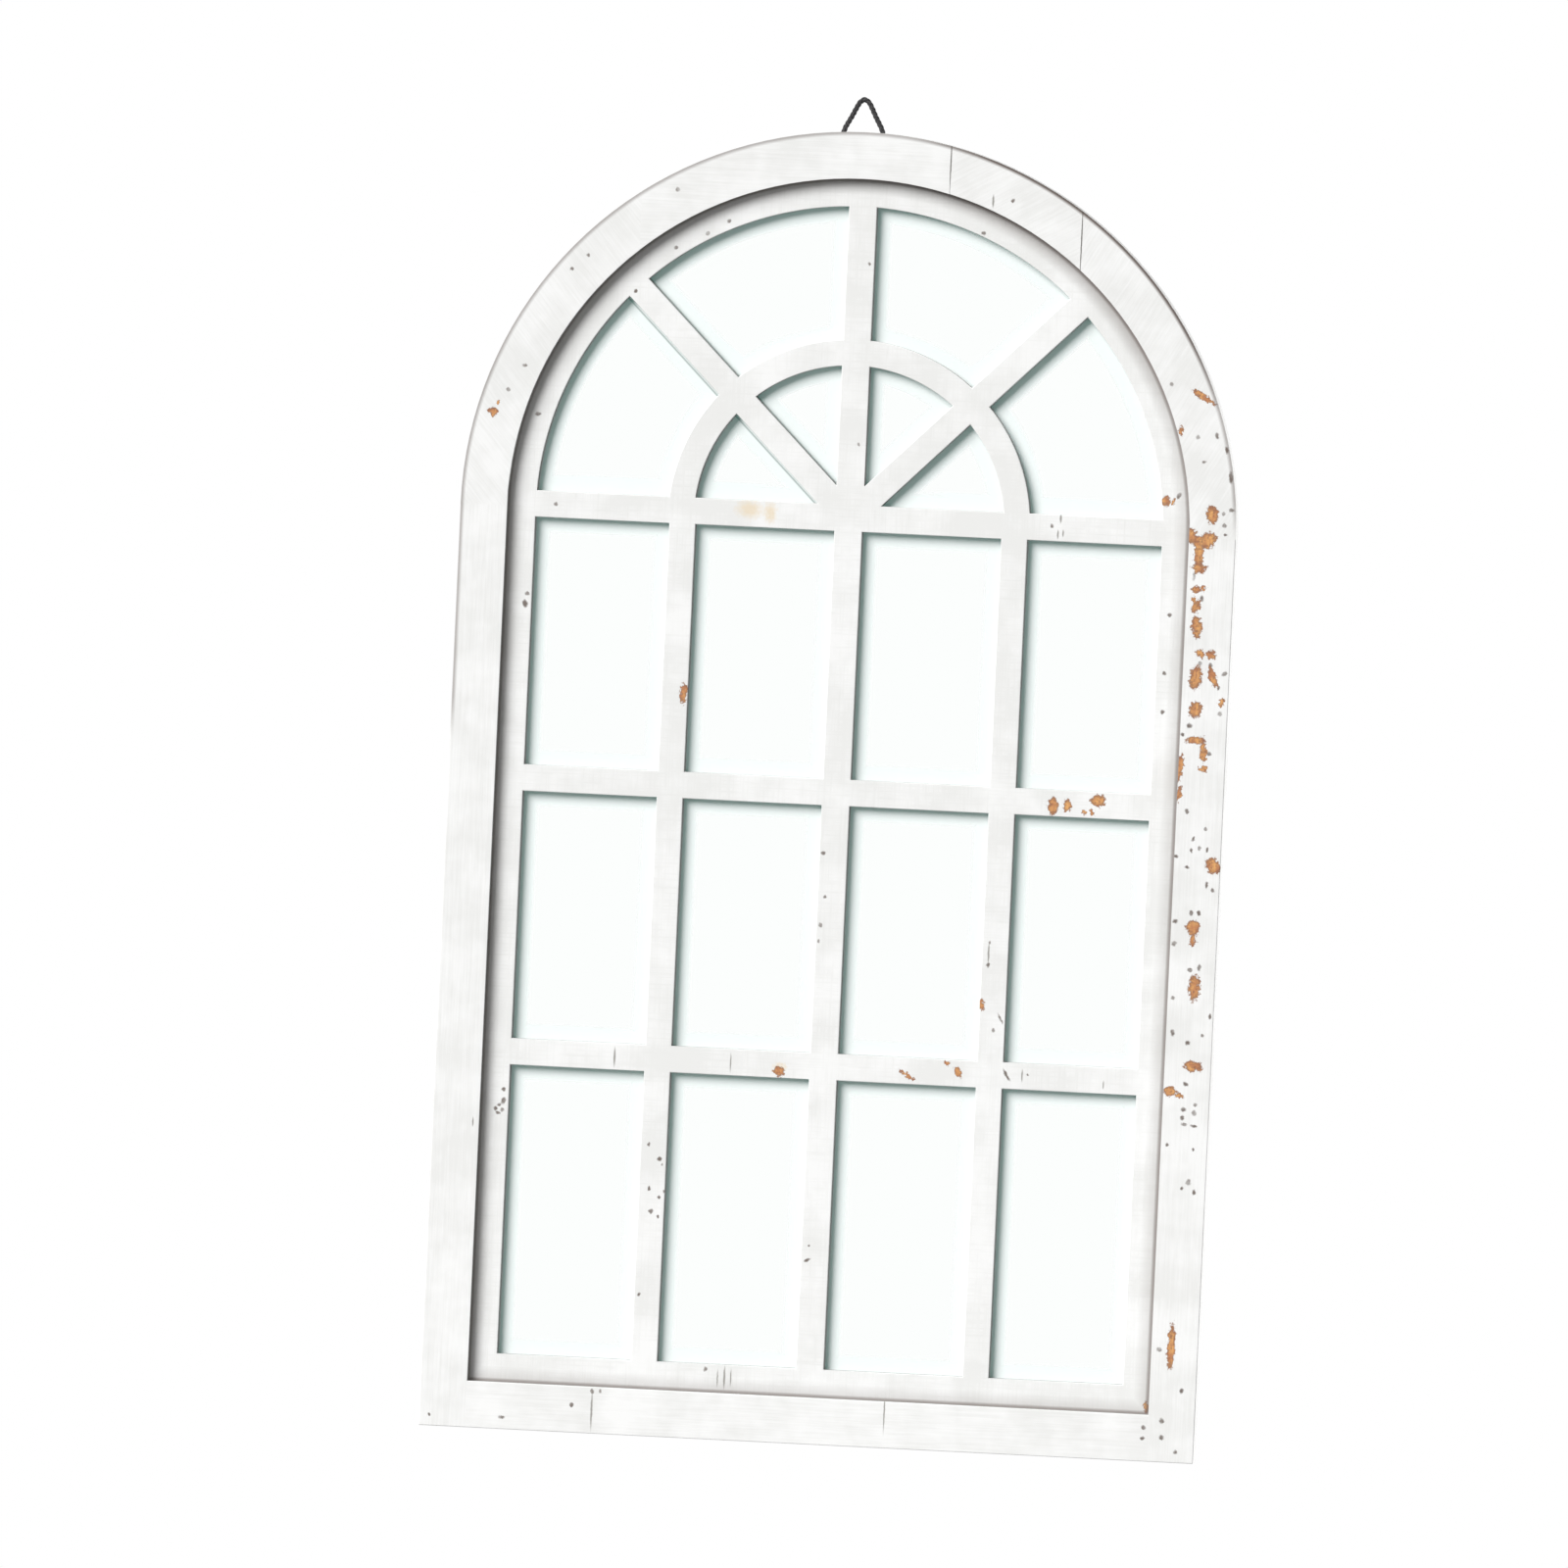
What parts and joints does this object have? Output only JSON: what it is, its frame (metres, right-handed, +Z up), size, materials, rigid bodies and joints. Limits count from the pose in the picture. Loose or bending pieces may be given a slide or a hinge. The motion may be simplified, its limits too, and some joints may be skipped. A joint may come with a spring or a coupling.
{
  "type": "arched window mirror",
  "caption": "Arched wooden window frame with a set-back lattice of glazing bars over one sheet of mirror glass, a hardboard back and a cord loop for a nail.",
  "frame": {"origin": "on the back face of the frame, in the middle of the arch's crown, where the mirror lies against the wall", "axes": "+Z up, +Y into the wall, +X to the right as you look at the mirror"},
  "size_m": [0.6, 0.025, 1.0396],
  "materials": {
    "frame_paint": "worn white paint on pine boards, chipped to bare wood in places",
    "lattice_paint": "worn white paint on thin wooden strips",
    "mirror": "silvered float glass with a faint green tint, dusty along the bars",
    "hardboard": "brown hardboard, screen side out",
    "dowel_wood": "plain beech",
    "steel": "bright steel wire and strip",
    "cord": "dark grey twisted cord with lighter fibres"
  },
  "bodies": {
    "root": {"frame_arch_crown": "frame_paint", "frame_arch_left": "frame_paint", "frame_arch_right": "frame_paint", "frame_arch_shoulder": "frame_paint", "frame_bottom_rail": "frame_paint", "frame_left_stile": "frame_paint", "frame_right_stile": "frame_paint", "lattice_arc_left_lower": "lattice_paint", "lattice_arc_left_upper": "lattice_paint", "lattice_arc_right_lower": "lattice_paint", "lattice_arc_right_upper": "lattice_paint", "lattice_bottom_rail": "lattice_paint", "lattice_left_stile": "lattice_paint", "lattice_right_stile": "lattice_paint", "muntin_centre": "lattice_paint", "muntin_left": "lattice_paint", "muntin_right": "lattice_paint", "cross_bar_lower": "lattice_paint", "cross_bar_middle": "lattice_paint", "cross_bar_spring": "lattice_paint", "spoke_left": "lattice_paint", "spoke_right": "lattice_paint", "ring_left_lower": "lattice_paint", "ring_left_upper": "lattice_paint", "ring_right_lower": "lattice_paint", "ring_right_upper": "lattice_paint", "mirror_glass": "mirror", "backing_board": "hardboard", "backing_point_1": "steel", "backing_point_2": "steel", "backing_point_3": "steel", "backing_point_4": "steel", "backing_point_5": "steel", "backing_point_6": "steel", "backing_point_7": "steel", "backing_point_8": "steel", "backing_point_9": "steel", "backing_point_10": "steel", "backing_point_11": "steel", "backing_point_12": "steel", "dowel_arch_1": "dowel_wood", "dowel_arch_2": "dowel_wood", "dowel_arch_3": "dowel_wood", "dowel_bottom_left_1": "dowel_wood", "dowel_bottom_left_2": "dowel_wood", "dowel_bottom_right_1": "dowel_wood", "dowel_bottom_right_2": "dowel_wood", "dowel_spring_left_1": "dowel_wood", "dowel_spring_left_2": "dowel_wood", "dowel_spring_right_1": "dowel_wood", "dowel_spring_right_2": "dowel_wood", "hanging_cord": "cord", "cord_staple_left_1": "steel", "cord_staple_left_2": "steel", "cord_staple_right_1": "steel", "cord_staple_right_2": "steel"}
  },
  "joints": []
}
